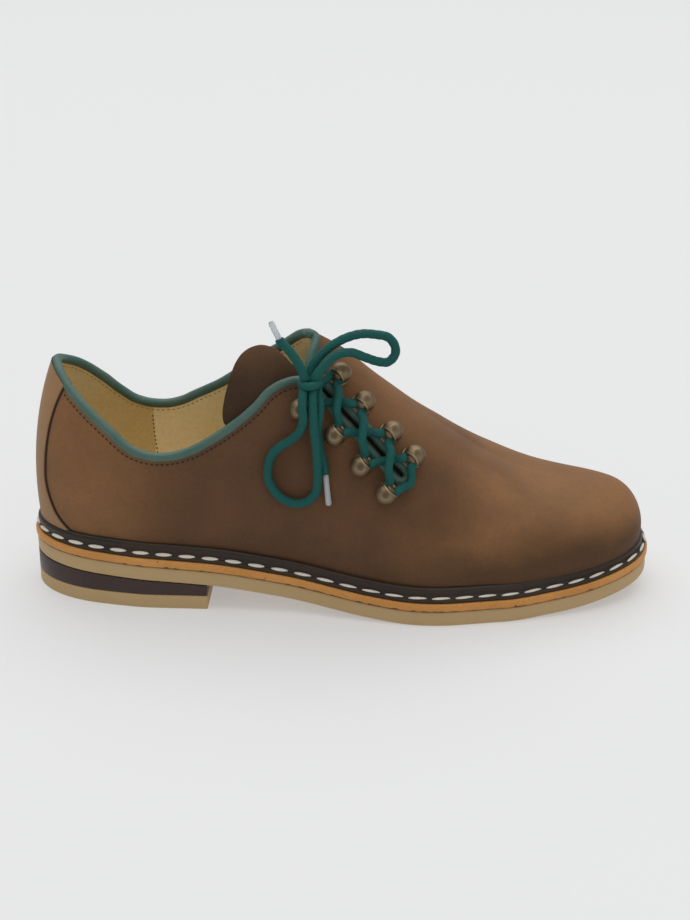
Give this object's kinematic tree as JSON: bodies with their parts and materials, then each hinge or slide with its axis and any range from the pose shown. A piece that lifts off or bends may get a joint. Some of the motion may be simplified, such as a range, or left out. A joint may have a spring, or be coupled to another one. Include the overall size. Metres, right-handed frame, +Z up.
{
  "type": "side-laced haferl shoe",
  "caption": "Low leather shoe laced over a slit at the outer side of the instep, with ball eyelets, a rolled collar edge, a stitched welt and a low heel; right foot.",
  "frame": {"origin": "on the floor at the middle of the heel's flat bottom", "axes": "+X to the toe, +Y to the inner side of the foot, +Z up"},
  "size_m": [0.294, 0.1076, 0.1381],
  "materials": {
    "beige_rubber": "matt crepe rubber, beige",
    "tan_midsole": "smooth waxed edge, orange tan",
    "dark_lift": "waxed stacked edge, dark brown",
    "welt_leather": "waxed, near black brown",
    "nubuck": "oiled nubuck, brown, lighter at toe and heel",
    "binding_leather": "smooth folded leather roll, grey green",
    "tongue_leather": "soft nubuck, brown, mustard inner face",
    "lining_leather": "smooth lining leather, cream",
    "aged_bronze": "antique bronze, worn bright on the rims",
    "lace_cord": "round braided cord, teal",
    "clear_tip": "clear film tip"
  },
  "bodies": {
    "root": {"outsole": "beige_rubber", "midsole": "tan_midsole", "top_lift": "beige_rubber", "heel_lift": "dark_lift", "welt": "welt_leather", "insole": "lining_leather", "upper": "nubuck", "collar_binding": "binding_leather", "tongue": "tongue_leather", "backstay": "nubuck", "eyelet_outer_1": "aged_bronze", "eyelet_outer_2": "aged_bronze", "eyelet_outer_3": "aged_bronze", "eyelet_outer_4": "aged_bronze", "eyelet_inner_1": "aged_bronze", "eyelet_inner_2": "aged_bronze", "eyelet_inner_3": "aged_bronze", "eyelet_inner_4": "aged_bronze", "lace_cross_1": "lace_cord", "lace_cross_2": "lace_cord", "lace_cross_3": "lace_cord", "lace_bar": "lace_cord", "lace_knot": "lace_cord", "lace_loop_upper": "lace_cord", "lace_loop_lower": "lace_cord", "lace_end_up": "lace_cord", "lace_end_down": "lace_cord", "aglet_up": "clear_tip", "aglet_down": "clear_tip"}
  },
  "joints": []
}
